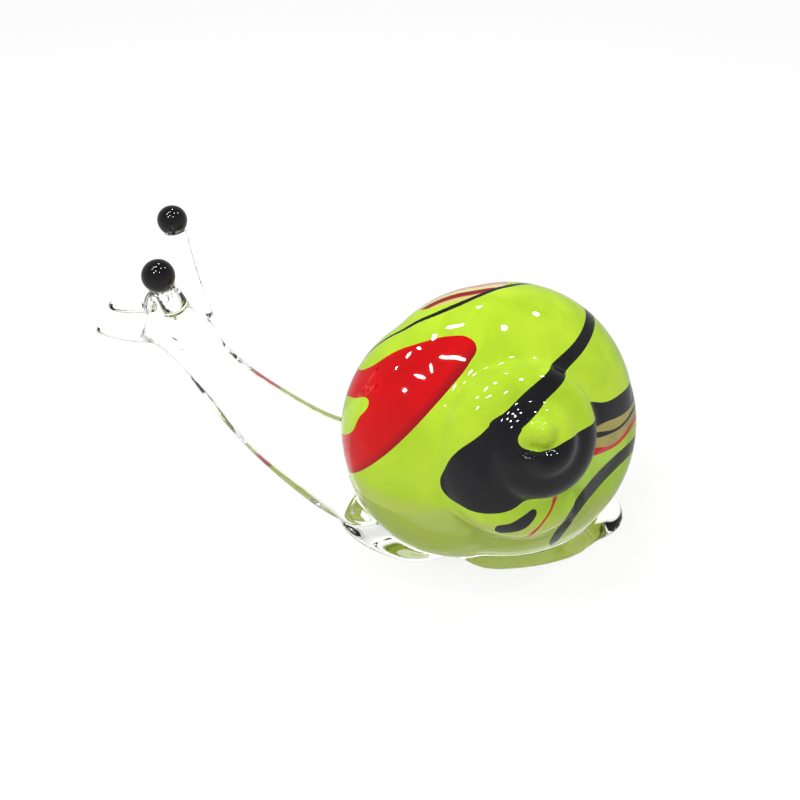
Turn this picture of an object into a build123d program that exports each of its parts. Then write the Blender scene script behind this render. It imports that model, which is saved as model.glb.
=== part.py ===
"""A flame-worked glass snail: clear body, green coiled shell with coloured trails, black eye beads.

Millimetres, +Z up. The snail looks along -X, and the spire of its shell is on its left, at -Y.
The origin is at the middle of the bounding box, on the surface that the foot stands on.
"""
from build123d import *
import os
from math import cos, exp, radians, sin, sqrt

# Foot: a clear pad with a pinched rim, its collar higher under the neck than at the tail
foot_length = 35.2
foot_width = 19.6
foot_floor = 0.8
foot_rim_height = 1.6
foot_rim_round = 0.5
foot_shoulder_height = 2.8
foot_shoulder_inset = 1.5
foot_shoulder_slope = 0.04
foot_crown_height = 4.8
foot_crown_inset = 4.5
foot_crown_slope = 0.13
foot_outline_points = 48
# Each pinch is its place around the rim in degrees, its depth and its half breadth in degrees
foot_pinches = [(256, 2.0, 10), (72, 1.6, 12), (130, 1.0, 14), (325, 0.8, 12)]
# The share of a pinch that is left at the collar's shoulder
foot_shoulder_pinch = 0.5

# Shell: a flattened ball that leans back over the foot, swollen by a second one at its aperture
shell_radius = 15.5
shell_half_thickness = 10.2
shell_rim_radius = 7.4
shell_ahead = 2.5
shell_aside = 0.2
shell_height = 15.3
shell_lean = 26.0
shell_turn = 17.5
aperture_radius = 13.9
aperture_half_thickness = 9.2
aperture_rim_radius = 6.7
aperture_reach = 5.8
aperture_angle = 194.0
aperture_drop = 0.5
# The turned surfaces of the body start and end here, away from every trail
shell_seam_angle = 225.0

# Spire: a tapering coil that winds in clockwise, seen from the left of the snail
spire_start_angle = 300.0
spire_start_radius = 12.3
spire_shrink = 0.44
spire_aside = -0.5
spire_below = -1.5
spire_tube_share = 0.42
spire_spans = 5
spire_span_turn = 0.5
spire_span_sections = 5
# Its limit over the shell's cap where it starts, and its rise, as shares of its start radius
spire_peak_share = 0.5106
spire_rise_share = 0.866
spire_start_drop = 2.0
spire_drop_turn = 0.25
apex_radius = 2.4
apex_above_crown = 1.4
columella_radius = 10.5
columella_top_radius = 2.3

# Trails melted into the shell: centre points and breadths as shares of its radius, from its axis
trail_depth = 0.35
main_black_trail = [(0.97, 0.95, 0.097), (0.64, 0.73, 0.097), (0.45, 0.61, 0.097)]
top_black_trail = [(-1.14, 0.43, 0.026), (-0.80, 0.63, 0.026), (-0.54, 0.77, 0.026), (-0.26, 0.90, 0.032),
                   (0.23, 1.06, 0.045)]
rear_black_trail = [(0.43, 0.07, 0.155), (0.62, 0.08, 0.148), (0.77, 0.14, 0.129), (0.94, 0.21, 0.090),
                    (1.23, 0.34, 0.090)]
rear_black_line = [(0.62, -0.10, 0.029), (0.74, -0.08, 0.029), (0.83, -0.05, 0.029), (0.97, 0.03, 0.029),
                   (1.23, 0.17, 0.029)]
rear_red_line = [(0.41, -0.21, 0.032), (0.59, -0.19, 0.032), (0.76, -0.14, 0.032), (0.93, -0.05, 0.032),
                 (1.23, 0.12, 0.032)]
rear_tan_trail = [(0.43, -0.11, 0.206), (0.63, -0.09, 0.194), (0.77, -0.04, 0.187), (0.94, 0.06, 0.174),
                  (1.23, 0.23, 0.174)]
lower_black_trail = [(0.34, -1.16, 0.071), (0.32, -0.86, 0.071), (0.36, -0.60, 0.071), (0.51, -0.43, 0.077),
                     (0.72, -0.31, 0.071), (0.92, -0.24, 0.065), (1.23, -0.14, 0.065)]

# Trails over and under the spire: centre points and breadths as shares of its start radius, from its axis
spire_main_trail = [(0.41, 0.77, 0.122), (0.12, 0.60, 0.146), (-0.11, 0.39, 0.171), (-0.28, 0.25, 0.179),
                    (-0.43, 0.09, 0.179)]
base_black_patch = [(0.05, -0.63, 0.041), (0.00, -0.76, 0.138), (-0.12, -0.85, 0.122), (-0.29, -0.85, 0.024)]
base_red_line = [(0.29, -0.50, 0.037), (0.25, -0.65, 0.037), (0.21, -0.83, 0.037), (0.10, -0.97, 0.037)]

# Flakes: outlines as shares of the shell's radius, from its axis
front_red_flake = [(-1.32, -0.55), (-1.19, -0.36), (-1.04, -0.15), (-0.83, 0.05), (-0.61, 0.27),
                   (-0.46, 0.44), (-0.40, 0.56), (-0.43, 0.63), (-0.54, 0.64), (-0.85, 0.54),
                   (-1.26, 0.31), (-1.52, 0.0)]
front_green_gap = [(-1.32, 0.19), (-1.15, 0.20), (-1.10, 0.06), (-1.15, -0.08), (-1.32, -0.13)]
top_red_flake = [(-0.62, 0.75), (-0.53, 0.72), (-0.26, 0.83), (0.0, 0.93), (0.06, 1.26), (-0.54, 1.16)]

# The black glass around the spire: its outline as shares of the spire's start radius, from its axis
spire_black_swirl = [(-0.34, 0.31), (-0.53, 0.09), (-0.73, -0.09), (-0.80, -0.26), (-0.80, -0.39),
                     (-0.73, -0.50), (-0.60, -0.60), (-0.46, -0.66), (-0.31, -0.66), (-0.16, -0.59),
                     (-0.03, -0.52), (0.23, -0.51), (0.38, -0.39), (0.53, -0.22), (0.60, -0.02),
                     (0.56, 0.15), (0.43, 0.13), (0.29, 0.10), (0.16, 0.03), (0.03, -0.02),
                     (-0.14, -0.03), (-0.24, 0.03), (-0.25, 0.09), (-0.21, 0.20)]

# Neck and head: sections along one bent rod, as place ahead, height and radius
neck_sections = [(-12.0, 6.4, 6.4), (-16.5, 7.6, 5.9), (-20.3, 10.1, 5.0), (-24.1, 13.5, 4.3),
                 (-28.9, 18.9, 3.3), (-32.3, 24.0, 2.7)]
head_sections = [(-33.7, 26.4, 3.0), (-35.4, 28.2, 3.1), (-37.7, 29.0, 2.6)]

# Lips: two flat tongues at the end of the head, as place ahead and height
upper_lip_root = (-36.4, 31.0)
upper_lip_tip = (-41.2, 30.3)
lower_lip_root = (-36.6, 26.9)
lower_lip_tip = (-43.0, 27.3)
lip_width = 4.6
lip_thickness = 1.3
lip_tip_width = 2.8
lip_tip_thickness = 0.7

# Tentacles and eye beads
tentacle_ahead = -33.0
tentacle_spread = 1.5
tentacle_height = 27.4
tentacle_root_radius = 2.3
tentacle_waist_radius = 1.5
tentacle_tip_radius = 1.3
left_eye_place = (-34.8, -6.0, 37.3)
right_eye_place = (-35.1, 6.0, 37.6)
left_eye_diameter = 3.5
right_eye_diameter = 3.3

# A block larger than the snail, and a small part of a turn for the coil's direction
stock_size = 200.0
turn_step = 0.001


def foot_outline(inset, height, slope, pinch_share):
    """The rim's closed curve at a height, rising to the front, drawn in from the full size by an inset."""
    points = []
    for index in range(foot_outline_points):
        angle = 360.0 * index / foot_outline_points
        pinch = 0.0
        for place, depth, breadth in foot_pinches:
            away = (angle - place + 180.0) % 360.0 - 180.0
            pinch += depth * exp(-(away / breadth) ** 2)
        drawn_in = inset + pinch * pinch_share
        x = (foot_length / 2 - drawn_in) * cos(radians(angle))
        y = (foot_width / 2 - drawn_in) * sin(radians(angle))
        points.append((x, y, height - slope * x))
    return make_face(Spline(*points, periodic=True))


def foot_pad():
    """The whole pad, before the shell's seat is cut out of it."""
    sections = [
        foot_outline(foot_rim_round, 0, 0, 1),
        foot_outline(0, foot_rim_height / 2, 0, 1),
        foot_outline(foot_rim_round, foot_rim_height, 0, 1),
        foot_outline(foot_shoulder_inset, foot_shoulder_height, foot_shoulder_slope, foot_shoulder_pinch),
        foot_outline(foot_crown_inset, foot_crown_height, foot_crown_slope, 0),
    ]
    return loft(sections, ruled=True)


def shell_plane():
    """The shell's own axes: z along the spire, x towards the tail, y up."""
    lean = radians(shell_lean)
    turn = radians(shell_turn)
    spire = Vector(sin(turn) * cos(lean), -cos(turn) * cos(lean), sin(lean))
    tailward = Vector(1, 0, 0) - spire * spire.X
    return Plane((shell_ahead, shell_aside, shell_height), x_dir=tailward, z_dir=spire)


def cap_size(radius, half_thickness, rim_radius):
    """Radius of a flattened ball's caps, and how far beyond its middle their centres lie."""
    rim_centre = radius - rim_radius
    square_sum = rim_centre ** 2 + half_thickness ** 2 - rim_radius ** 2
    cap_radius = square_sum / (half_thickness - rim_radius) / 2
    return cap_radius, cap_radius - half_thickness


def cap_height(reach):
    """Height of the shell's cap at a distance from the shell's axis."""
    cap_radius, cap_centre = cap_size(shell_radius, shell_half_thickness, shell_rim_radius)
    return sqrt(cap_radius ** 2 - reach ** 2) - cap_centre


def spire_point(turn):
    """Centre and radius of the coil after a number of turns, in the shell's own axes."""
    shrunk = exp(-spire_shrink * turn)
    reach = spire_start_radius * shrunk
    tube = reach * spire_tube_share
    angle = radians(spire_start_angle - 360.0 * turn)
    early = max(0.0, 1.0 - turn / spire_drop_turn)
    seat = cap_height(spire_start_radius * (1 - spire_tube_share))
    above_seat = spire_start_radius * (spire_peak_share - spire_rise_share * shrunk)
    height = seat + above_seat - spire_start_drop * early ** 2
    return Vector((reach - tube) * cos(angle), (reach - tube) * sin(angle), height), tube


def from_axis(points, aside, below, radius):
    """Points in the shell's own axes, with any breadths, from shares of a radius about an axis."""
    return [(aside + x * radius, below + y * radius, *(share * radius for share in breadth))
            for x, y, *breadth in points]


def from_shell(points):
    """Points in the shell's own axes, from shares of the shell's radius."""
    return from_axis(points, 0, 0, shell_radius)


def from_spire(points):
    """Points in the shell's own axes, from shares of the spire's start radius."""
    return from_axis(points, spire_aside, spire_below, spire_start_radius)


def spire_section(turn, skin):
    """The coil's round section after a number of turns, thinner by a skin."""
    centre, tube = spire_point(turn)
    along = spire_point(turn + turn_step)[0] - spire_point(turn - turn_step)[0]
    return Plane(centre, x_dir=(0, 0, -1), z_dir=along) * Circle(tube - skin)


def flattened_ball(radius, half_thickness, rim_radius):
    """A ball of revolution about z: two shallow caps that run smoothly into a round rim."""
    rim_centre = radius - rim_radius
    cap_radius, cap_centre = cap_size(radius, half_thickness, rim_radius)
    edge = Vector(rim_centre, cap_centre).normalized() * cap_radius - Vector(0, cap_centre)
    with BuildPart() as ball:
        with BuildSketch(Plane.XZ):
            with BuildLine():
                RadiusArc((0, half_thickness), (edge.X, edge.Y), cap_radius)
                ThreePointArc((edge.X, edge.Y), (radius, 0), (edge.X, -edge.Y))
                RadiusArc((edge.X, -edge.Y), (0, -half_thickness), cap_radius)
                Line((0, -half_thickness), (0, half_thickness))
            make_face()
        revolve(axis=Axis.Z)
    return Rot(0, 0, shell_seam_angle) * ball.part


def body_whorl(skin):
    """The shell's round body with its aperture swelling, smaller by a skin, in its place."""
    angle = radians(aperture_angle)
    aperture_place = (aperture_reach * cos(angle), aperture_reach * sin(angle), -aperture_drop)
    body = flattened_ball(shell_radius - skin, shell_half_thickness - skin, shell_rim_radius - skin)
    swelling = flattened_ball(aperture_radius - skin, aperture_half_thickness - skin,
                              aperture_rim_radius - skin)
    return shell_plane().location * (body + Pos(*aperture_place) * swelling)


def spire(skin):
    """The coil that is wound on the body, with its apex, thinner by a skin, in its place."""
    apex_height = shell_half_thickness + apex_above_crown
    coil = Cone(columella_radius, columella_top_radius, apex_height,
                align=(Align.CENTER, Align.CENTER, Align.MIN))
    coil += Pos(0, 0, apex_height) * Sphere(apex_radius - skin)
    for span in range(spire_spans):
        turns = [(span + index / (spire_span_sections - 1)) * spire_span_turn
                 for index in range(spire_span_sections)]
        coil += loft([spire_section(turn, skin) for turn in turns])
    return shell_plane().location * Pos(spire_aside, spire_below, 0) * coil


def trail_face(trail):
    """A band that follows a trail's centre points at its breadths."""
    sides = ([], [])
    for index, (x, y, breadth) in enumerate(trail):
        before = trail[max(index - 1, 0)]
        after = trail[min(index + 1, len(trail) - 1)]
        along = Vector(after[0] - before[0], after[1] - before[1]).normalized()
        across = Vector(-along.Y, along.X) * (breadth / 2)
        sides[0].append(Vector(x, y) + across)
        sides[1].append(Vector(x, y) - across)
    left = Spline(*sides[0])
    right = Spline(*sides[1])
    start = Line(left @ 0, right @ 0)
    end = Line(left @ 1, right @ 1)
    return make_face([left, end, right, start])


def flake_face(outline):
    """A rounded flake through the points of its outline."""
    return make_face(Spline(*outline, periodic=True))


def main_trail_face():
    """The broad black band, from the rim of the body to the middle of the spire."""
    return trail_face(from_shell(main_black_trail) + from_spire(spire_main_trail))


def crest_face():
    """All that lies between the top black trail and the crest of the shell."""
    border = Spline(*[(x, y) for x, y, breadth in from_shell(top_black_trail)])
    beyond = 2 * shell_radius
    return make_face([border, Polyline(border @ 1, (0, beyond), border @ 0)])


def body_trail_faces():
    """Every trail and flake of the body, each with the ones before it taken out, by node name."""
    faces = {
        "main_black_trail": main_trail_face(),
        "top_black_trail": trail_face(from_shell(top_black_trail)),
        "front_red_flake": flake_face(from_shell(front_red_flake)) - flake_face(from_shell(front_green_gap)),
        "top_red_flake": flake_face(from_shell(top_red_flake)) & crest_face(),
        "rear_black_trail": trail_face(from_shell(rear_black_trail)),
        "rear_black_line": trail_face(from_shell(rear_black_line)),
        "rear_red_line": trail_face(from_shell(rear_red_line)),
        "rear_tan_trail": trail_face(from_shell(rear_tan_trail)),
        "lower_black_trail": trail_face(from_shell(lower_black_trail)),
        "base_black_patch": trail_face(from_spire(base_black_patch)),
        "base_red_line": trail_face(from_spire(base_red_line)),
    }
    names = list(faces)
    for place, name in enumerate(names):
        for earlier in names[:place]:
            faces[name] = faces[name] - faces[earlier]
    return faces


def rod_pieces():
    """The neck and the head, lofted through round sections that share the seam between them."""
    sections = neck_sections + head_sections
    rounds = []
    for index, (ahead, height, radius) in enumerate(sections):
        before = sections[max(index - 1, 0)]
        after = sections[min(index + 1, len(sections) - 1)]
        along = Vector(after[0] - before[0], 0, after[1] - before[1])
        rounds.append(Plane((ahead, 0, height), x_dir=(0, 1, 0), z_dir=along) * Circle(radius))
    seam = len(neck_sections)
    return loft(rounds[:seam]), loft(rounds[seam - 1:])


def lip(root, tip):
    """A flat tongue from the head to its thin end."""
    along = Vector(tip[0] - root[0], 0, tip[1] - root[1])
    half_way = ((root[0] + tip[0]) / 2, (root[1] + tip[1]) / 2)
    sizes = [(root, lip_width, lip_thickness), (half_way, lip_width, lip_thickness),
             (tip, lip_tip_width, lip_tip_thickness)]
    sections = []
    for (ahead, height), width, thickness in sizes:
        plane = Plane((ahead, 0, height), x_dir=(0, 1, 0), z_dir=along)
        sections.append(plane * Ellipse(width / 2, thickness / 2))
    return loft(sections)


def tentacle(side, eye_place):
    """A stalk that flares into the head and ends inside its eye bead."""
    base = Vector(tentacle_ahead, side * tentacle_spread, tentacle_height)
    along = Vector(*eye_place) - base
    plane = Plane(base, x_dir=(0, 1, 0), z_dir=along)
    length = along.length
    with BuildPart() as stalk:
        with BuildSketch(Plane.XZ):
            with BuildLine():
                Spline((tentacle_root_radius, 0), (tentacle_waist_radius, length / 2),
                       (tentacle_tip_radius, length))
                Polyline((tentacle_tip_radius, length), (0, length), (0, 0), (tentacle_root_radius, 0))
            make_face()
        revolve(axis=Axis.Z)
    return plane.location * stalk.part


def shell_pieces(body, coil):
    """The body and the coil with their trails set into them, by node name."""
    pieces = {"shell_body": body}
    body_core = body_whorl(trail_depth)
    reach = 2 * shell_radius
    for name, face in body_trail_faces().items():
        near_only = name.startswith("base")
        cutter = extrude(shell_plane() * face, amount=reach, both=not near_only) - body_core
        pieces[name] = body & cutter
        pieces["shell_body"] = pieces["shell_body"] - cutter
    swirl = flake_face(from_spire(spire_black_swirl)) + main_trail_face()
    swirl_cutter = extrude(shell_plane() * swirl, amount=reach) - spire(trail_depth)
    pieces["spire_black_swirl"] = coil & swirl_cutter
    pieces["spire_coil"] = coil - swirl_cutter
    return pieces


def build_pieces():
    """Every piece in the foot's frame, by node name."""
    above_ground = Box(stock_size, stock_size, stock_size, align=(Align.CENTER, Align.CENTER, Align.MIN))
    body = body_whorl(0) & Pos(0, 0, foot_floor) * above_ground
    coil = spire(0) - body_whorl(0)
    pad = foot_pad()
    neck_rod, head_rod = rod_pieces()
    pieces = {"foot": pad - body - coil}
    pieces["neck"] = (neck_rod & above_ground) - pad - body - coil
    pieces["head"] = head_rod
    pieces["upper_lip"] = lip(upper_lip_root, upper_lip_tip) - head_rod
    pieces["lower_lip"] = lip(lower_lip_root, lower_lip_tip) - head_rod
    eyes = [
        ("left", -1, left_eye_place, left_eye_diameter),
        ("right", 1, right_eye_place, right_eye_diameter),
    ]
    for name, side, place, diameter in eyes:
        bead = Pos(*place) * Sphere(diameter / 2)
        pieces[name + "_tentacle"] = tentacle(side, place) - head_rod - neck_rod - bead
        pieces[name + "_eye_bead"] = bead
    pieces["right_tentacle"] = pieces["right_tentacle"] - pieces["left_tentacle"]
    pieces.update(shell_pieces(body, coil))
    return pieces


os.makedirs("parts", exist_ok=True)
pieces = build_pieces()
box = Compound(children=[Compound(piece.solids()) for piece in pieces.values()]).bounding_box()
to_origin = Pos(-box.center().X, -box.center().Y, -box.min.Z)
for name, piece in pieces.items():
    export_step(to_origin * piece, f"parts/{name}.step")
print("origin moved by", to_origin.position, "overall size", box.size)
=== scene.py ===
import bpy
from math import cos, exp, radians, sin
from mathutils import Matrix, Vector


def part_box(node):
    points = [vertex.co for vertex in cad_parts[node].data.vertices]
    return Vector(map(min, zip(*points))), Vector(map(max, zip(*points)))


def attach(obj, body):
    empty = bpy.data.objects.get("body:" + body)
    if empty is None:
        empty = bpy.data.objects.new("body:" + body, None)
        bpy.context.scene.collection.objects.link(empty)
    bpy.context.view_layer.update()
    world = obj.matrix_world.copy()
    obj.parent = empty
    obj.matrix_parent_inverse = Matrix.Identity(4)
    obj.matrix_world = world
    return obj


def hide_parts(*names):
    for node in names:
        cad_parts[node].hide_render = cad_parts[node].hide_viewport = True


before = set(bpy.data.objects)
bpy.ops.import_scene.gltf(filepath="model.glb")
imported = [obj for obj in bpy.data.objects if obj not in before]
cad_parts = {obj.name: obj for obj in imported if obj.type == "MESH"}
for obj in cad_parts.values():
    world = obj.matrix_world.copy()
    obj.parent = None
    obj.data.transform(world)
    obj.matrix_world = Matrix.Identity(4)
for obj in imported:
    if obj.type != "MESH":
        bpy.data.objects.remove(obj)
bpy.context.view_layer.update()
mm = 0.001
bpy.context.scene.view_settings.view_transform = "Standard"


# small helpers for working on one object at a time

def deselectAll():
    if bpy.context.object and bpy.context.object.mode != "OBJECT":
        bpy.ops.object.mode_set(mode="OBJECT")
    bpy.ops.object.select_all(action="DESELECT")


def activate(piece):
    deselectAll()
    piece.select_set(True)
    bpy.context.view_layer.objects.active = piece


def newObject(name, mesh):
    piece = bpy.data.objects.new(name, mesh)
    bpy.context.scene.collection.objects.link(piece)
    return piece


def duplicate(piece, name):
    return newObject(name, piece.data.copy())


def remove(*pieces):
    for piece in pieces:
        bpy.data.objects.remove(piece)


def useModifier(piece, kind, **settings):
    activate(piece)
    modifier = piece.modifiers.new(kind, kind)
    for key, value in settings.items():
        setattr(modifier, key, value)
    bpy.ops.object.modifier_apply(modifier=modifier.name)


def carve(piece, cutter, operation):
    useModifier(piece, "BOOLEAN", object=cutter, operation=operation, solver="MANIFOLD")


def joinedCopy(name, sources):
    copies = [duplicate(source, name) for source in sources]
    activate(copies[0])
    for copy in copies:
        copy.data.materials.clear()
        copy.select_set(True)
    bpy.ops.object.join()
    bpy.ops.object.mode_set(mode="EDIT")
    bpy.ops.mesh.select_all(action="SELECT")
    bpy.ops.mesh.remove_doubles(threshold=0.002 * mm)
    bpy.ops.object.mode_set(mode="OBJECT")
    return copies[0]


def meltTogether(piece, voxel, passes):
    useModifier(piece, "REMESH", mode="VOXEL", voxel_size=voxel * mm, use_smooth_shade=True)
    useModifier(piece, "SMOOTH", factor=0.5, iterations=passes)


def borrowNormals(piece, source):
    useModifier(piece, "DATA_TRANSFER", object=source, use_loop_data=True,
                data_types_loops={"CUSTOM_NORMAL"}, loop_mapping="POLYINTERP_NEAREST")


# places are in mm from the middle of the foot, and the left eye bead shows where the frame has put it

eyes = {
    "leftEyeBead": {"place": (-34.8, -6.0, 37.3), "radius": 1.75, "way": (-0.16, -0.41, 0.9)},
    "rightEyeBead": {"place": (-35.1, 6.0, 37.6), "radius": 1.65, "way": (-0.19, 0.4, 0.9)},
}
eyeLow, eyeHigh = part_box("left_eye_bead")
home = (eyeLow + eyeHigh) / 2 - Vector(eyes["leftEyeBead"]["place"]) * mm


def placed(point):
    return home + Vector(point) * mm


# camera where the photo was taken from

view = {"place": (-9.9, -120.4, 101.8), "tilt": 55.0, "angle": 35.0, "clip": 5.0}
bpy.ops.object.camera_add(location=placed(view["place"]), rotation=(radians(view["tilt"]), 0, 0))
camera = bpy.context.object
camera.data.angle = radians(view["angle"])
camera.data.clip_start = view["clip"] * mm
camera.data.dof.use_dof = False
bpy.context.scene.camera = camera
print("camera set")

# the shell's own axes: z along the spire, x to the tail, y up

shell = {
    "place": (2.5, 0.2, 15.3), "lean": 26.0, "turn": 17.5,
    "voxel": 0.28, "melt": 20, "apexMelt": 7,  # voxel in mm, smoothing passes
    "shoulder": (-1.9, 0.1, -0.2), "shoulderSize": (15.1, 15.1, 9.2),  # fills the dip beside the coil
    "trailDepth": 0.35, "seatDepth": 0.8, "reach": 18.0,
    "crestTurn": 23.6, "crestEnd": -4.0,  # turn to the middle of the top trails, and where their cutters end
}
spireWay = Vector((sin(radians(shell["turn"])) * cos(radians(shell["lean"])),
                   -cos(radians(shell["turn"])) * cos(radians(shell["lean"])),
                   sin(radians(shell["lean"]))))
tailWay = (Vector((1, 0, 0)) - spireWay * spireWay.x).normalized()
upWay = spireWay.cross(tailWay)
shellAxes = Matrix((tailWay, upWay, spireWay)).transposed().to_4x4()
shellAxes.translation = placed(shell["place"])
crestAxes = shellAxes @ Matrix.Rotation(radians(shell["crestTurn"]), 4, "Z")
crestAxes = crestAxes @ Matrix.Rotation(radians(90), 4, "X")


def outlinePrism(name, outline, low, high, axes):  # rounded outline across some axes, drawn out along z
    curve = bpy.data.curves.new(name, "CURVE")
    curve.dimensions = "3D"
    spline = curve.splines.new("BEZIER")
    spline.bezier_points.add(len(outline) - 1)
    for point, (x, y) in zip(spline.bezier_points, outline):
        point.co = Vector((x, y, low)) * mm
        point.handle_left_type = point.handle_right_type = "AUTO"
    spline.use_cyclic_u = True
    spline.resolution_u = 5
    prism = newObject(name, curve)
    activate(prism)
    bpy.ops.object.convert(target="MESH")
    prism = bpy.context.object
    bpy.ops.object.mode_set(mode="EDIT")
    bpy.ops.mesh.select_all(action="SELECT")
    bpy.ops.mesh.remove_doubles(threshold=0.005 * mm)
    bpy.ops.mesh.edge_face_add()
    bpy.ops.mesh.extrude_region_move(TRANSFORM_OT_translate={"value": (0, 0, (high - low) * mm)})
    bpy.ops.mesh.select_all(action="SELECT")
    bpy.ops.mesh.normals_make_consistent(inside=False)
    bpy.ops.mesh.quads_convert_to_tris()
    bpy.ops.object.mode_set(mode="OBJECT")
    prism.data.transform(axes)
    return prism


def bandOutline(band):  # both sides of a band from its middle points and breadths
    left, right = [], []
    for index, (x, y, breadth) in enumerate(band):
        before, after = band[max(index - 1, 0)], band[min(index + 1, len(band) - 1)]
        along = Vector((after[0] - before[0], after[1] - before[1])).normalized()
        left.append((x - along.y * breadth / 2, y + along.x * breadth / 2))
        right.append((x + along.y * breadth / 2, y - along.x * breadth / 2))
    return left + right[::-1]


coil = {  # a tube that winds in clockwise and rises to a round apex; angles in degrees, sizes in mm
    "startAngle": 300.0, "startRadius": 12.65, "shrink": 0.62, "tubeShare": 0.42,
    "turns": 2.3, "steps": 36,
    "peak": 15.5, "rise": 10.2, "startDrop": 2.0, "dropTurn": 0.25, "middle": (-0.5, -1.5),
    "apex": (-0.9, 0.1, 10.7), "apexSize": (2.35, 2.35, 3.95),
    "outline": [(254, 8.2), (245, 9.4), (233, 10.5), (213, 11.3), (184, 10.9), (145, 10.3), (90, 9.2),
                (74, 8.9), (45, 8.2), (18, 7.5), (-2, 7.4), (-45, 6.9), (-65, 7.1),
                (-90, 6.9)],  # angles and distances around its middle
    "floor": 4.0,
}


def coilTube():
    curve = bpy.data.curves.new("coilTube", "CURVE")
    curve.dimensions = "3D"
    curve.bevel_depth = mm  # so a point's radius is its tube in mm
    curve.bevel_resolution = 12
    curve.use_fill_caps = True
    spline = curve.splines.new("POLY")
    spline.points.add(int(coil["turns"] * coil["steps"]))
    for index, point in enumerate(spline.points):
        turn = index / coil["steps"]
        shrunk = exp(-coil["shrink"] * turn)
        reach = coil["startRadius"] * shrunk
        point.radius = reach * coil["tubeShare"]
        angle = radians(coil["startAngle"] - 360.0 * turn)
        early = max(0.0, 1.0 - turn / coil["dropTurn"])
        centre = Vector((coil["middle"][0] + (reach - point.radius) * cos(angle),
                         coil["middle"][1] + (reach - point.radius) * sin(angle),
                         coil["peak"] - coil["rise"] * shrunk - coil["startDrop"] * early ** 2))
        point.co = (*centre * mm, 1)
    tube = newObject("coilTube", curve)
    activate(tube)
    bpy.ops.object.convert(target="MESH")
    tube = bpy.context.object
    tube.data.transform(shellAxes)
    return tube


def gather(axes, place, size):  # a round or flattened ball of glass
    deselectAll()
    bpy.ops.mesh.primitive_uv_sphere_add(segments=96, ring_count=48, radius=mm)
    ball = bpy.context.object
    ball.data.transform(axes @ Matrix.Translation(Vector(place) * mm) @ Matrix.Diagonal((*size, 1)))
    return ball


apexBall = gather(shellAxes, coil["apex"], coil["apexSize"])
shoulder = gather(shellAxes, shell["shoulder"], shell["shoulderSize"])
tube = coilTube()
bodyNodes = ["shell_body", "main_black_trail", "top_black_trail", "front_red_flake", "top_red_flake",
             "rear_black_trail", "rear_black_line", "rear_red_line", "rear_tan_trail", "lower_black_trail",
             "base_black_patch", "base_red_line"]
bodyParts = [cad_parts[node] for node in bodyNodes]
broadForm = joinedCopy("broadForm", bodyParts + [tube, shoulder])
meltTogether(broadForm, shell["voxel"], shell["melt"])
shellForm = joinedCopy("shellForm", [broadForm, apexBall])
meltTogether(shellForm, shell["voxel"], shell["apexMelt"])
remove(tube, apexBall, shoulder, broadForm)
shellCore = duplicate(shellForm, "shellCore")
useModifier(shellCore, "DISPLACE", strength=-shell["trailDepth"] * mm, mid_level=0)
deepCore = duplicate(shellForm, "deepCore")
useModifier(deepCore, "DISPLACE", strength=-shell["seatDepth"] * mm, mid_level=0)
print("shell melted together", len(shellForm.data.polygons))

# trails across the shell's axes, in mm: middle points with the breadth there, or the outline of a flake

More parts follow.
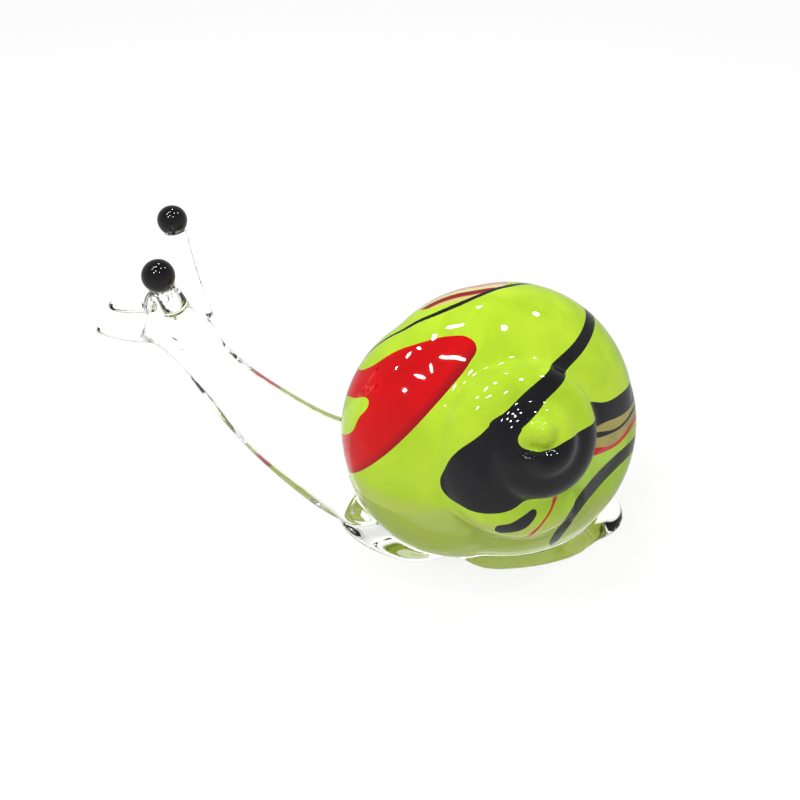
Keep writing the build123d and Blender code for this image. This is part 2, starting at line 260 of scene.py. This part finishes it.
trails = {
    "mainBlackTrail": {"band": [(11.6, 15.2, 1.5), (9.0, 11.8, 1.45), (6.4, 9.0, 1.45), (3.0, 6.6, 1.6),
                                (-1.1, 3.8, 2.1), (-3.75, 1.45, 2.1), (-5.6, -0.3, 2.1)]},
    "topBlackTrail": {"band": [(-13.0, -2.4, 0.4), (-10.7, -0.6, 0.45), (-9.0, 0.4, 0.45), (-5.9, 2.0, 0.45),
                               (-3.5, 2.9, 0.5), (0.6, 3.1, 0.5), (4.3, 2.5, 0.55), (6.5, 1.8, 0.6),
                               (9.5, -0.2, 0.5), (11.0, -2.0, 0.3)], "crest": True},
    "frontRedFlake": {"outline": [(-20.5, -8.4), (-18.6, -5.8), (-15.5, -2.5), (-11.3, 2.2), (-9.1, 4.6),
                                  (-7.1, 7.1), (-6.2, 8.8), (-6.8, 9.7), (-8.3, 9.9), (-12.2, 8.9),
                                  (-14.4, 8.0), (-16.6, 6.4), (-19.5, 4.2), (-23.5, 0.0)],
                      "gap": [(-22.5, 2.4), (-18.6, 2.8), (-17.6, 3.0), (-17.5, 2.4), (-18.4, 0.8),
                              (-19.4, -1.4), (-22.5, -2.6)]},
    "topRedFlake": {"outline": [(-4.8, -0.9), (-4.1, 1.2), (-2.2, 2.3), (0.6, 2.9), (3.4, 2.6), (5.2, 1.8),
                                (6.2, -0.5), (5.5, -3.0), (2.0, -4.5), (-2.0, -4.2)], "crest": True},
    "rearBlackTrail": {"band": [(5.0, 0.9, 2.0), (9.4, 1.15, 2.2), (12.0, 1.75, 2.4), (13.9, 2.6, 2.3),
                                (19.0, 5.0, 2.3)]},
    "rearBlackLine": {"band": [(7.0, -1.4, 0.3), (10.5, -1.2, 0.35), (12.2, -0.6, 0.35), (13.6, 0.3, 0.35),
                               (19.0, 3.4, 0.35)]},
    "rearRedLine": {"band": [(6.0, -3.3, 0.45), (10.0, -3.1, 0.45), (11.8, -2.4, 0.45), (13.9, -0.8, 0.45),
                             (19.0, 2.2, 0.45)]},
    "rearTanTrail": {"band": [(5.6, -1.6, 3.2), (9.7, -1.5, 3.2), (12.0, -0.8, 3.1), (14.6, 0.9, 2.9),
                              (19.0, 3.5, 2.7)]},
    "lowerBlackTrail": {"band": [(4.4, -14.4, 0.6), (4.8, -13.0, 1.4), (5.7, -10.6, 1.6), (7.6, -7.8, 1.7),
                                 (10.0, -5.7, 1.7), (14.2, -3.6, 1.6), (19.0, -1.8, 1.6)], "low": -3.0},
    "baseBlackPatch": {"outline": [(-0.1, -9.2), (-0.3, -10.7), (-1.8, -11.9), (-4.4, -11.3), (-2.8, -10.6),
                                   (-1.6, -9.8)], "low": 0.0},
    "baseRedLine": {"band": [(2.6, -7.3, 0.28), (2.1, -9.3, 0.3), (1.0, -11.3, 0.3), (0.1, -13.1, 0.28)],
                    "low": 0.0},
}
swirl = [(-4.0, 1.4), (-5.5, 1.15), (-7.2, -0.3), (-9.7, -2.6), (-10.3, -4.5), (-10.4, -6.2), (-9.7, -7.5),
         (-8.4, -8.5), (-7.2, -9.1), (-5.0, -9.3), (-3.1, -8.9), (-1.3, -7.8), (1.8, -7.5), (3.9, -6.3),
         (6.6, -4.4), (7.2, -2.0), (6.9, 0.6), (5.3, 0.3), (3.5, -0.3), (1.8, -0.9), (0.0, -1.9),
         (-2.4, -1.8), (-3.4, -1.2), (-3.6, -0.5), (-3.2, 0.6)]  # black glass around the spire


def inlay(name, source, trail, low, high):  # takes a trail's thin piece out of the source's skin
    axes = crestAxes if trail.get("crest") else shellAxes
    outline = trail.get("outline") or bandOutline(trail["band"])
    cutter = outlinePrism(name + "Cutter", outline, low, high, axes)
    if "gap" in trail:
        gap = outlinePrism(name + "Gap", trail["gap"], low - 1, high + 1, axes)
        carve(cutter, gap, "DIFFERENCE")
        remove(gap)
    carve(cutter, shellCore, "DIFFERENCE")
    piece = duplicate(source, name)
    carve(piece, cutter, "INTERSECT")
    carve(source, cutter, "DIFFERENCE")
    remove(cutter)
    return piece


pieces = {}
wholeShell = duplicate(shellForm, "wholeShell")
middleX, middleY = coil["middle"]
coilOutline = [(middleX + radius * cos(radians(angle)), middleY + radius * sin(radians(angle)))
               for angle, radius in coil["outline"]]
coilPrism = outlinePrism("coilPrism", coilOutline, coil["floor"], shell["reach"], shellAxes)
spireCoil = duplicate(shellForm, "spireCoil")
carve(spireCoil, coilPrism, "INTERSECT")
carve(shellForm, coilPrism, "DIFFERENCE")
remove(coilPrism)
spireSwirl = inlay("spireBlackSwirl", spireCoil, {"outline": swirl}, coil["floor"], shell["reach"])
trailOnSpire = inlay("trailOnSpire", spireCoil, trails["mainBlackTrail"], coil["floor"], shell["reach"])
activate(spireSwirl)
trailOnSpire.select_set(True)
bpy.ops.object.join()
pieces["spireBlackSwirl"] = spireSwirl
pieces["spireCoil"] = spireCoil
print("spire cut")

for name, trail in trails.items():
    low = trail.get("low", -shell["reach"])
    high = shell["crestEnd"] if trail.get("crest") else shell["reach"]
    pieces[name] = inlay(name, shellForm, trail, low, high)
    print("trail cut", name, len(pieces[name].data.polygons))
shellForm.name = "shellBody"
pieces["shellBody"] = shellForm
for piece in pieces.values():
    borrowNormals(piece, wholeShell)

# the clear body: melted into one form over the shell's seat, then parted at its fused seams

clear = {
    "voxel": 0.24, "melt": 12, "footBreadth": 1.07,
    "lipTips": [(-40.6, 0.0, 30.35), (-42.4, 0.0, 27.25)], "lipTipSize": (1.5, 1.5, 0.45),
    "cupShift": (0.5, -0.1, -1.6), "cupVoxel": 0.35, "cupMelt": 2,  # the foot laps up round the shell
    "cupLow": 0.6, "groundSize": 100.0, "seamReach": 60.0, "seamSkin": 0.002,
}
clearNodes = ["neck", "head", "upper_lip", "lower_lip", "left_tentacle", "right_tentacle"]
footPad = joinedCopy("footPad", [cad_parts["foot"]])
broader = Matrix.Diagonal((1, clear["footBreadth"], 1, 1))
footPad.data.transform(Matrix.Translation(home) @ broader @ Matrix.Translation(-home))
cup = joinedCopy("cup", bodyParts)
cup.data.transform(Matrix.Translation(Vector(clear["cupShift"]) * mm))
meltTogether(cup, clear["cupVoxel"], clear["cupMelt"])
deselectAll()
groundMiddle = (clear["cupLow"] - clear["groundSize"] / 2) * mm
bpy.ops.mesh.primitive_cube_add(size=clear["groundSize"] * mm, location=(0, 0, groundMiddle))
ground = bpy.context.object
carve(cup, ground, "DIFFERENCE")
lipTips = [gather(Matrix.Translation(home), tip, clear["lipTipSize"]) for tip in clear["lipTips"]]
clearParts = [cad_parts[node] for node in clearNodes]
clearForm = joinedCopy("clearForm", clearParts + lipTips + [footPad, deepCore, cup])
remove(cup, ground, footPad, *lipTips)
meltTogether(clearForm, clear["voxel"], clear["melt"])
carve(clearForm, shellCore, "DIFFERENCE")
wholeClear = duplicate(clearForm, "wholeClear")
print("clear body melted together", len(clearForm.data.polygons))

seams = {  # a point on each seam, the way out of it, and the thickness and width of what lies beyond
    "neckGlass": {"place": (-15.5, 0.0, 5.2), "way": (-0.6, 0.0, 0.8), "thick": 40.0, "wide": 40.0},
    "headGlass": {"place": (-32.6, 0.0, 24.4), "way": (-0.5, 0.0, 0.87), "thick": 40.0, "wide": 40.0},
    "leftTentacleGlass": {"place": (-33.5, -2.7, 29.9), "way": (-0.16, -0.41, 0.9),
                          "thick": 7.0, "wide": 6.4},
    "rightTentacleGlass": {"place": (-33.6, 2.7, 30.1), "way": (-0.19, 0.4, 0.9),
                           "thick": 7.0, "wide": 6.4},
    "upperLipGlass": {"place": (-37.5, 0.0, 31.0), "way": (-0.99, 0.0, -0.14), "thick": 2.2, "wide": 9.0},
    "lowerLipGlass": {"place": (-37.7, 0.0, 27.1), "way": (-0.99, 0.0, 0.1), "thick": 2.2, "wide": 9.0},
}


def beyondSeam(name, whole):  # parts off what lies beyond a seam
    seam = seams[name]
    way = Vector(seam["way"]).normalized()
    side = (Vector((0, 1, 0)) - way * way.y).normalized()
    turn = Matrix((side.cross(way), side, way)).transposed().to_4x4()
    turn.translation = placed(seam["place"])
    deselectAll()
    bpy.ops.mesh.primitive_cube_add(size=1)
    block = bpy.context.object
    block.data.transform(Matrix.Translation((0, 0, 0.5)))
    block.data.transform(Matrix.Diagonal((seam["thick"] * mm, seam["wide"] * mm, clear["seamReach"] * mm, 1)))
    block.data.transform(turn)
    part = duplicate(whole, name)
    carve(part, block, "INTERSECT")
    carve(whole, block, "DIFFERENCE")
    remove(block)
    return part


neckGlass = beyondSeam("neckGlass", clearForm)
headGlass = beyondSeam("headGlass", neckGlass)
clearForm.name = "footGlass"
clearPieces = {"footGlass": clearForm, "neckGlass": neckGlass, "headGlass": headGlass}
for name in ("leftTentacleGlass", "rightTentacleGlass", "upperLipGlass", "lowerLipGlass"):
    clearPieces[name] = beyondSeam(name, headGlass)
for piece in clearPieces.values():
    borrowNormals(piece, wholeClear)
pieces.update(clearPieces)
print("clear body parted")

# eye beads: round gathers with a faint pear shape towards the stalks

bead = {"crown": 0.985, "stem": 0.05, "taper": 0.015}  # height of the top, more length below, change of girth
for name, eye in eyes.items():
    deselectAll()
    bpy.ops.mesh.primitive_uv_sphere_add(segments=64, ring_count=32, radius=eye["radius"] * mm)
    piece = bpy.context.object
    piece.name = name
    for vertex in piece.data.vertices:
        share = vertex.co.z / (eye["radius"] * mm)
        vertex.co.z *= bead["crown"] if share > 0 else 1.0 + bead["stem"] * share * share
        vertex.co.x *= 1.0 + bead["taper"] * share
        vertex.co.y *= 1.0 + bead["taper"] * share
    turn = Vector(eye["way"]).to_track_quat("Z", "Y").to_matrix().to_4x4()
    turn.translation = placed(eye["place"])
    piece.data.transform(turn)
    bpy.ops.object.shade_smooth()
    pieces[name] = piece
print("eye beads made")

# glass finishes

def addNode(tree, kind, place, **values):
    node = tree.nodes.new(kind)
    node.location = place
    for key, value in values.items():
        if key in node.inputs:
            node.inputs[key].default_value = value
        else:
            setattr(node, key, value)
    return node


def waveGroup():  # slow, shallow waves that a flame leaves on glass
    group = bpy.data.node_groups.new("flameWaves", "ShaderNodeTree")
    group.interface.new_socket("Size", in_out="INPUT", socket_type="NodeSocketFloat")
    group.interface.new_socket("Height", in_out="OUTPUT", socket_type="NodeSocketFloat")
    start = addNode(group, "NodeGroupInput", (-600, 0))
    end = addNode(group, "NodeGroupOutput", (200, 0))
    where = addNode(group, "ShaderNodeTexCoord", (-600, 200))
    noise = addNode(group, "ShaderNodeTexNoise", (-200, 0), Detail=2.0, Roughness=0.4)
    group.links.new(where.outputs["Object"], noise.inputs["Vector"])
    group.links.new(start.outputs["Size"], noise.inputs["Scale"])
    group.links.new(noise.outputs["Fac"], end.inputs["Height"])
    return group


def mottleGroup():  # cloudy streaks between two tones, drawn out along one way
    group = bpy.data.node_groups.new("meltedTones", "ShaderNodeTree")
    sockets = (("Size", "Float"), ("Contrast", "Float"), ("Light tone", "Color"), ("Deep tone", "Color"))
    for name, kind in sockets:
        group.interface.new_socket(name, in_out="INPUT", socket_type="NodeSocket" + kind)
    group.interface.new_socket("Color", in_out="OUTPUT", socket_type="NodeSocketColor")
    start = addNode(group, "NodeGroupInput", (-900, 0))
    end = addNode(group, "NodeGroupOutput", (400, 0))
    where = addNode(group, "ShaderNodeTexCoord", (-900, 300))
    drawn = addNode(group, "ShaderNodeMapping", (-700, 300), Rotation=(0.4, 0.0, 0.3))
    drawn.inputs["Scale"].default_value = (1.0, 1.0, 0.45)
    noise = addNode(group, "ShaderNodeTexNoise", (-450, 200), Detail=5.0, Roughness=0.55, Distortion=0.6)
    spread = addNode(group, "ShaderNodeMath", (-220, 200), operation="SUBTRACT")
    spread.inputs[1].default_value = 0.5
    more = addNode(group, "ShaderNodeMath", (-60, 200), operation="MULTIPLY_ADD", use_clamp=True)
    more.inputs[2].default_value = 0.5
    mix = addNode(group, "ShaderNodeMix", (150, 0), data_type="RGBA")
    group.links.new(where.outputs["Object"], drawn.inputs["Vector"])
    group.links.new(drawn.outputs["Vector"], noise.inputs["Vector"])
    group.links.new(start.outputs["Size"], noise.inputs["Scale"])
    group.links.new(noise.outputs["Fac"], spread.inputs[0])
    group.links.new(spread.outputs[0], more.inputs[0])
    group.links.new(start.outputs["Contrast"], more.inputs[1])
    group.links.new(more.outputs[0], mix.inputs["Factor"])
    group.links.new(start.outputs["Deep tone"], mix.inputs[6])
    group.links.new(start.outputs["Light tone"], mix.inputs[7])
    group.links.new(mix.outputs[2], end.inputs["Color"])
    return group


def stretchGroup():  # how far a point lies along a stretch, from 0 at its start to 1 at its end
    group = bpy.data.node_groups.new("alongStretch", "ShaderNodeTree")
    for name, kind in (("Way", "Vector"), ("Start", "Float"), ("End", "Float")):
        group.interface.new_socket(name, in_out="INPUT", socket_type="NodeSocket" + kind)
    group.interface.new_socket("Share", in_out="OUTPUT", socket_type="NodeSocketFloat")
    start = addNode(group, "NodeGroupInput", (-600, 0))
    end = addNode(group, "NodeGroupOutput", (200, 0))
    where = addNode(group, "ShaderNodeTexCoord", (-600, 200))
    along = addNode(group, "ShaderNodeVectorMath", (-400, 100), operation="DOT_PRODUCT")
    share = addNode(group, "ShaderNodeMapRange", (-150, 0))
    group.links.new(where.outputs["Object"], along.inputs[0])
    group.links.new(start.outputs["Way"], along.inputs[1])
    group.links.new(along.outputs["Value"], share.inputs["Value"])
    group.links.new(start.outputs["Start"], share.inputs["From Min"])
    group.links.new(start.outputs["End"], share.inputs["From Max"])
    group.links.new(share.outputs["Result"], end.inputs["Share"])
    return group


flameWaves = waveGroup()
meltedTones = mottleGroup()
alongStretch = stretchGroup()


def addStretch(tree, stretch):  # its way and ends are given across some axes, in mm
    axes, way, start, end = stretch
    turned = axes.to_3x3() @ Vector(way).normalized()
    node = addNode(tree, "ShaderNodeGroup", (-900, 300), node_tree=alongStretch)
    node.inputs["Way"].default_value = turned
    node.inputs["Start"].default_value = turned.dot(axes.translation) + start * mm
    node.inputs["End"].default_value = turned.dot(axes.translation) + end * mm
    return node.outputs["Share"]


def glassMaterial(name, finish):
    material = bpy.data.materials.new(name)
    material.use_nodes = True
    tree = material.node_tree
    shader = tree.nodes["Principled BSDF"]
    shader.inputs["Roughness"].default_value = finish["roughness"]
    shader.inputs["IOR"].default_value = finish["ior"]
    waves = addNode(tree, "ShaderNodeGroup", (-600, -300), node_tree=flameWaves)
    waves.inputs["Size"].default_value = finish["waveSize"]
    bump = addNode(tree, "ShaderNodeBump", (-300, -300), Strength=finish["waveStrength"], Distance=0.2 * mm)
    tree.links.new(waves.outputs["Height"], bump.inputs["Height"])
    tree.links.new(bump.outputs["Normal"], shader.inputs["Normal"])
    if "transmission" in finish:
        shader.inputs["Transmission Weight"].default_value = finish["transmission"]
        shader.inputs["Base Color"].default_value = (*finish["light"], 1)
        path = addNode(tree, "ShaderNodeLightPath", (-600, 100))
        lit = addNode(tree, "ShaderNodeMath", (-300, 100), operation="MULTIPLY_ADD")  # for light through it
        lit.inputs[1].default_value = -finish["lampsThrough"]
        lit.inputs[2].default_value = 1.0
        tree.links.new(path.outputs["Is Shadow Ray"], lit.inputs[0])
        tree.links.new(lit.outputs[0], shader.inputs["Alpha"])
    else:
        tones = addNode(tree, "ShaderNodeGroup", (-600, 100), node_tree=meltedTones)
        tones.inputs["Size"].default_value = finish["toneSize"]
        tones.inputs["Contrast"].default_value = finish["contrast"]
        tones.inputs["Light tone"].default_value = (*finish["light"], 1)
        tones.inputs["Deep tone"].default_value = (*finish["deep"], 1)
        color = tones.outputs["Color"]
        if "border" in finish:  # another tone towards one edge
            mix = addNode(tree, "ShaderNodeMix", (-250, 200), data_type="RGBA")
            tree.links.new(addStretch(tree, finish["border"]), mix.inputs["Factor"])
            tree.links.new(color, mix.inputs[6])
            mix.inputs[7].default_value = (*finish["borderTone"], 1)
            color = mix.outputs[2]
        if "bandsAndSheen" in finish:  # bands of other tones side by side, own colours together with painted reflection
            ramp = addNode(tree, "ShaderNodeValToRGB", (-600, 400))
            while len(ramp.color_ramp.elements) < len(finish["bandsAndSheen"]):
                ramp.color_ramp.elements.new(1.0)
            for element, (place, tone) in zip(ramp.color_ramp.elements, finish["bandsAndSheen"]):
                element.position = place
                element.color = (*tone, 1)
            mix = addNode(tree, "ShaderNodeMix", (-250, 200), data_type="RGBA", Factor=0.5)
            mix.blend_type = "MULTIPLY"
            tree.links.new(addStretch(tree, finish["stretch"]), ramp.inputs["Fac"])
            tree.links.new(ramp.outputs["Color"], mix.inputs[6])
            tree.links.new(color, mix.inputs[7])
            color = mix.outputs[2]
        tree.links.new(color, shader.inputs["Base Color"])
    return material


firePolish = {"roughness": 0.05, "ior": 1.5, "waveSize": 190.0, "waveStrength": 0.06}
finishes = {
    "clearGlass": {"light": (0.985, 0.99, 0.965), "transmission": 1.0, "roughness": 0.0, "ior": 1.5,
                   "waveSize": 160.0, "waveStrength": 0.05, "lampsThrough": 0.85},
    "greenGlass": {**firePolish, "light": (0.56, 0.81, 0.035), "deep": (0.38, 0.61, 0.02),
                   "toneSize": 170.0, "contrast": 2.4},
    "blackGlass": {**firePolish, "light": (0.010, 0.010, 0.013), "deep": (0.003, 0.003, 0.004),
                   "toneSize": 200.0, "contrast": 2.0},
    "redGlass": {**firePolish, "light": (0.74, 0.002, 0.004), "deep": (0.50, 0.001, 0.004),
                 "toneSize": 180.0, "contrast": 1.8, "roughness": 0.04},
    "tanGlass": {**firePolish, "light": (0.48, 0.40, 0.12), "deep": (0.33, 0.30, 0.07),
                 "toneSize": 260.0, "contrast": 2.2},
}
finishes["beadGlass"] = {**finishes["blackGlass"], "roughness": 0.02, "light": (0.004, 0.004, 0.005)}
finishes["flakeGlass"] = {**finishes["redGlass"], "borderTone": (0.36, 0.003, 0.008),
                          "border": (shellAxes, (0.757, -0.654, 0), -11.1, -10.2)}
# painted reflection and light: the shell turns paler olive towards its base, standing in for the foot's glass
# mirroring the white room over it and for light reaching it through that glass
finishes["paintedSheenGreenGlass"] = {**finishes["greenGlass"], "borderTone": (0.50, 0.61, 0.09),  # olive under the cup is painted reflection and light seen through the foot's glass
                           "border": (Matrix.Translation(home), (-0.15, 0, -1), -11.0, -9.2)}
# painted reflection on the top red flake: its pale light and deep tones and the pink and cream bands towards
# the silhouette stand in for the white room mirrored there; the maroon stripe is the glass's own colour
finishes["layersAndSheenGlass"] = {**finishes["redGlass"], "light": (1.0, 0.9, 0.8), "deep": (0.7, 0.45, 0.4),
                            "stretch": (crestAxes, (-0.24, 0.97, 0), -1.5, 2.6),
                            "bandsAndSheen": [(0.0, (0.72, 0.36, 0.36)), (0.42, (0.80, 0.50, 0.42)),
                                       (0.5, (0.86, 0.84, 0.5)), (0.64, (0.80, 0.82, 0.35)),
                                       (0.69, (0.20, 0.001, 0.004)), (0.87, (0.36, 0.004, 0.006)),
                                       (0.93, (0.72, 0.72, 0.22))]}
ownFinish = {"leftEyeBead": "beadGlass", "rightEyeBead": "beadGlass", "frontRedFlake": "flakeGlass",
             "topRedFlake": "layersAndSheenGlass", "shellBody": "paintedSheenGreenGlass"}
materials = {name: glassMaterial(name, finish) for name, finish in finishes.items()}
fusedSeam = bpy.data.materials.new("fusedSeam")  # inside the clear glass, so it shows nothing
fusedSeam.use_nodes = True
fusedSeam.node_tree.nodes["Principled BSDF"].inputs["Alpha"].default_value = 0.0
print("glass finishes made")

# each piece gets its finish and stands for its node

stands = {
    "footGlass": ("foot", "clear"), "neckGlass": ("neck", "clear"), "headGlass": ("head", "clear"),
    "upperLipGlass": ("upper_lip", "clear"), "lowerLipGlass": ("lower_lip", "clear"),
    "leftTentacleGlass": ("left_tentacle", "clear"), "rightTentacleGlass": ("right_tentacle", "clear"),
    "leftEyeBead": ("left_eye_bead", "black"), "rightEyeBead": ("right_eye_bead", "black"),
    "shellBody": ("shell_body", "green"), "spireCoil": ("spire_coil", "green"),
    "spireBlackSwirl": ("spire_black_swirl", "black"), "mainBlackTrail": ("main_black_trail", "black"),
    "topBlackTrail": ("top_black_trail", "black"), "frontRedFlake": ("front_red_flake", "red"),
    "topRedFlake": ("top_red_flake", "red"), "rearBlackTrail": ("rear_black_trail", "black"),
    "rearBlackLine": ("rear_black_line", "black"), "rearRedLine": ("rear_red_line", "red"),
    "rearTanTrail": ("rear_tan_trail", "tan"), "lowerBlackTrail": ("lower_black_trail", "black"),
    "baseBlackPatch": ("base_black_patch", "black"), "baseRedLine": ("base_red_line", "red"),
}
for name, (node, glass) in stands.items():
    piece = pieces[name]
    piece.data.materials.clear()
    piece.data.materials.append(materials[ownFinish.get(name, glass + "Glass")])
    if glass == "clear":
        piece.data.materials.append(fusedSeam)
        for seam in seams.values():
            way = Vector(seam["way"]).normalized()
            for polygon in piece.data.polygons:
                away = abs((polygon.center - placed(seam["place"])).dot(way))
                if away < clear["seamSkin"] * mm and abs(polygon.normal.dot(way)) > 0.99:
                    polygon.material_index = 1
        print("seam faces", name, sum(polygon.material_index for polygon in piece.data.polygons))
    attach(piece, "root")
    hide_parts(node)
remove(shellCore, deepCore, wholeShell, wholeClear)
print("pieces in place", len(stands))

# white floor and soft studio light

studio = {
    "floorSize": 4.0, "floorDrop": 0.02, "floorColor": 0.95, "floorGlow": 0.8,
    "floorLevel": 1.02, "floorMirrored": 0.45, "floorThrough": 1.3,  # to the eye, in gloss, through glass
    "fill": (0.22, 0.55), "mirrored": (0.45, 0.2), "through": (1.2, 0.5),  # the room, sides and overhead
    "target": (-5.0, -2.0, 14.0), "lampFar": 320.0, "lampPower": 0.10,
    "lamps": [  # way from the target and size in mm
        ((-0.39, 0.01, 0.92), (40, 20)), ((-0.22, -0.40, 0.89), (46, 12)), ((0.25, -0.05, 0.97), (17, 17)),
        ((-0.22, 0.09, 0.97), (17, 17)), ((-0.54, -0.12, 0.84), (15, 15)), ((0.15, -0.54, 0.83), (15, 15)),
        ((0.52, 0.23, 0.82), (17, 17)), ((-0.40, -0.50, 0.76), (15, 15)), ((-0.07, 0.47, 0.88), (17, 17)),
    ],
}


def largerOf(tree, first, second):
    larger = addNode(tree, "ShaderNodeMath", (-600, 300), operation="MAXIMUM")
    tree.links.new(first, larger.inputs[0])
    tree.links.new(second, larger.inputs[1])
    return larger.outputs[0]


def mixedLevel(tree, share, first, second):  # first where the share is 0, second where it is 1
    mix = addNode(tree, "ShaderNodeMix", (-400, 300), data_type="FLOAT")
    tree.links.new(share, mix.inputs[0])
    for socket, level in ((mix.inputs[2], first), (mix.inputs[3], second)):
        if isinstance(level, float):
            socket.default_value = level
        else:
            tree.links.new(level, socket)
    return mix.outputs[0]


deselectAll()
bpy.ops.mesh.primitive_plane_add(size=studio["floorSize"], location=(0, 0, -studio["floorDrop"] * mm))
floor = bpy.context.object
floor.name = "floor"
white = bpy.data.materials.new("whiteFloor")
white.use_nodes = True
tree = white.node_tree
tree.nodes.remove(tree.nodes["Principled BSDF"])
matt = addNode(tree, "ShaderNodeBsdfDiffuse", (-300, 100), Color=(*[studio["floorColor"]] * 3, 1))
glow = addNode(tree, "ShaderNodeEmission", (-300, -100), Color=(1, 1, 1, 1))
path = addNode(tree, "ShaderNodeLightPath", (-900, 300))
shine = mixedLevel(tree, path.outputs["Is Glossy Ray"], studio["floorLevel"], studio["floorMirrored"])
shine = mixedLevel(tree, path.outputs["Is Transmission Ray"], shine, studio["floorThrough"])
tree.links.new(shine, glow.inputs["Strength"])
seen = largerOf(tree, path.outputs["Is Camera Ray"], path.outputs["Is Glossy Ray"])
seen = largerOf(tree, seen, path.outputs["Is Transmission Ray"])
both = addNode(tree, "ShaderNodeMixShader", (0, 0))
tree.links.new(mixedLevel(tree, seen, 0.0, studio["floorGlow"]), both.inputs[0])
tree.links.new(matt.outputs[0], both.inputs[1])
tree.links.new(glow.outputs[0], both.inputs[2])
tree.links.new(both.outputs[0], tree.nodes["Material Output"].inputs["Surface"])
floor.data.materials.append(white)

world = bpy.data.worlds.new("studio")
bpy.context.scene.world = world
world.use_nodes = True
tree = world.node_tree
sky = tree.nodes["Background"]
sky.inputs["Color"].default_value = (1, 1, 1, 1)
where = addNode(tree, "ShaderNodeTexCoord", (-1200, 0))
ways = addNode(tree, "ShaderNodeSeparateXYZ", (-1000, 0))
path = addNode(tree, "ShaderNodeLightPath", (-900, 300))
tree.links.new(where.outputs["Generated"], ways.inputs[0])
room = {}
for use in ("fill", "mirrored", "through"):
    side, top = studio[use]
    graded = addNode(tree, "ShaderNodeMapRange", (-800, 0), **{"To Min": side, "To Max": top})
    tree.links.new(ways.outputs["Z"], graded.inputs["Value"])
    room[use] = graded.outputs["Result"]
level = mixedLevel(tree, path.outputs["Is Glossy Ray"], room["fill"], room["mirrored"])
level = mixedLevel(tree, path.outputs["Is Transmission Ray"], level, room["through"])
tree.links.new(mixedLevel(tree, path.outputs["Is Camera Ray"], level, 1.0), sky.inputs["Strength"])

target = placed(studio["target"])
for index, (way, size) in enumerate(studio["lamps"]):
    place = target + Vector(way).normalized() * studio["lampFar"] * mm
    bpy.ops.object.light_add(type="AREA", location=place)
    light = bpy.context.object
    light.name = f"lamp{index}"
    light.rotation_euler = (target - place).to_track_quat("-Z", "Y").to_euler()
    light.data.shape = "ELLIPSE"
    light.data.size, light.data.size_y = size[0] * mm, size[1] * mm
    light.data.energy = studio["lampPower"]
print("studio lit")
